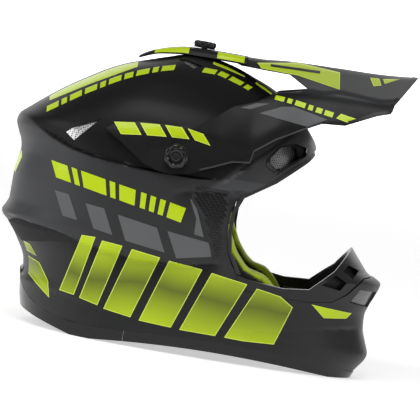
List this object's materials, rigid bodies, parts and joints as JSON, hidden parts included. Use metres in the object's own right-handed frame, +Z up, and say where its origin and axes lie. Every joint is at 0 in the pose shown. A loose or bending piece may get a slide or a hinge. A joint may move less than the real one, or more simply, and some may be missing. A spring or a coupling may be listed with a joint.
{
  "type": "motocross helmet",
  "caption": "Full-face off-road helmet with an open eyeport, a jutting chin bar, a tilting peak, removable padding and a double D-ring chin strap.",
  "frame": {"origin": "on the surface the helmet stands on, under the middle of its bounding box", "axes": "+X forward out of the eyeport, +Y to the wearer's left, +Z up out of the crown, with the helmet standing on its lower rim"},
  "size_m": [0.3681, 0.2604, 0.2919],
  "materials": {
    "shell_paint": "satin",
    "peak_plastic": "satin",
    "vent_plastic": "satin",
    "screw_plastic": "gloss",
    "rim_rubber": "satin",
    "grip_rubber": "matte",
    "padding_fabric": "matte",
    "filter_foam": "matte",
    "eps_foam": "matte",
    "mesh_metal": "satin",
    "steel": "polished",
    "webbing": "matte",
    "snap_plastic": "gloss"
  },
  "bodies": {
    "helmet": {"brow_vent_duct_left": "vent_plastic", "brow_vent_duct_right": "vent_plastic", "brow_vent_mesh_left": "mesh_metal", "brow_vent_mesh_right": "mesh_metal", "centre_insert": "steel", "centre_washer": "rim_rubber", "cheek_pad_base_left": "eps_foam", "cheek_pad_base_right": "eps_foam", "cheek_pad_left": "padding_fabric", "cheek_pad_right": "padding_fabric", "chin_vent_mesh_left": "mesh_metal", "chin_vent_mesh_right": "mesh_metal", "crown_comfort_pad": "padding_fabric", "crown_side_mesh_left": "mesh_metal", "crown_side_mesh_right": "mesh_metal", "crown_top_mesh_left": "mesh_metal", "crown_top_mesh_right": "mesh_metal", "eps_chin_liner": "eps_foam", "eps_crown_liner": "eps_foam", "eyeport_gasket": "rim_rubber", "lower_edge_trim": "rim_rubber", "mouth_vent_filter": "filter_foam", "mouth_vent_frame": "vent_plastic", "neck_roll": "rim_rubber", "outer_shell": "shell_paint", "peak_insert_left": "steel", "peak_insert_right": "steel", "peak_washer_left": "rim_rubber", "peak_washer_right": "rim_rubber", "side_grip_panel_left": "grip_rubber", "side_grip_panel_right": "grip_rubber", "strap_rivet_left": "steel", "strap_rivet_right": "steel"},
    "peak": {"peak": "peak_plastic"},
    "screw_right": {"peak_screw_right": "screw_plastic"},
    "screw_left": {"peak_screw_left": "screw_plastic"},
    "screw_centre": {"centre_screw": "screw_plastic"},
    "strap_long": {"strap_plate_right": "steel", "chin_strap_long": "webbing", "strap_snap": "snap_plastic"},
    "strap_short": {"strap_plate_left": "steel", "chin_strap_short": "webbing"},
    "ring_inner": {"d_ring_inner": "steel"},
    "ring_outer": {"d_ring_outer": "steel"}
  },
  "joints": [
    {"name": "peak_tilt", "type": "hinge", "parent": "helmet", "child": "peak", "pos_m": [-0.0255, 0, 0.1822], "axis": [0, -1, 0], "range_deg": [-6, 5]},
    {"name": "screw_right_turn", "type": "hinge", "parent": "helmet", "child": "screw_right", "pos_m": [-0.0255, -0.1227, 0.1822], "axis": [0, -1, 0], "continuous": true},
    {"name": "screw_left_turn", "type": "hinge", "parent": "helmet", "child": "screw_left", "pos_m": [-0.0255, 0.1227, 0.1822], "axis": [0, 1, 0], "continuous": true},
    {"name": "screw_centre_turn", "type": "hinge", "parent": "helmet", "child": "screw_centre", "pos_m": [-0.021, 0, 0.2832], "axis": [0, 0, 1], "continuous": true},
    {"name": "strap_long_swing", "type": "hinge", "parent": "helmet", "child": "strap_long", "pos_m": [-0.06, -0.098, 0.09], "axis": [0, 1, 0], "range_deg": [-8, 8]},
    {"name": "strap_short_swing", "type": "hinge", "parent": "helmet", "child": "strap_short", "pos_m": [-0.06, 0.098, 0.09], "axis": [0, 1, 0], "range_deg": [-8, 8]},
    {"name": "ring_inner_swing", "type": "hinge", "parent": "strap_short", "child": "ring_inner", "pos_m": [-0.06, 0.0778, 0.04], "axis": [-1, 0, 0], "range_deg": [0, 60]},
    {"name": "ring_outer_swing", "type": "hinge", "parent": "strap_short", "child": "ring_outer", "pos_m": [-0.06, 0.0822, 0.04], "axis": [1, 0, 0], "range_deg": [0, 8]}
  ]
}
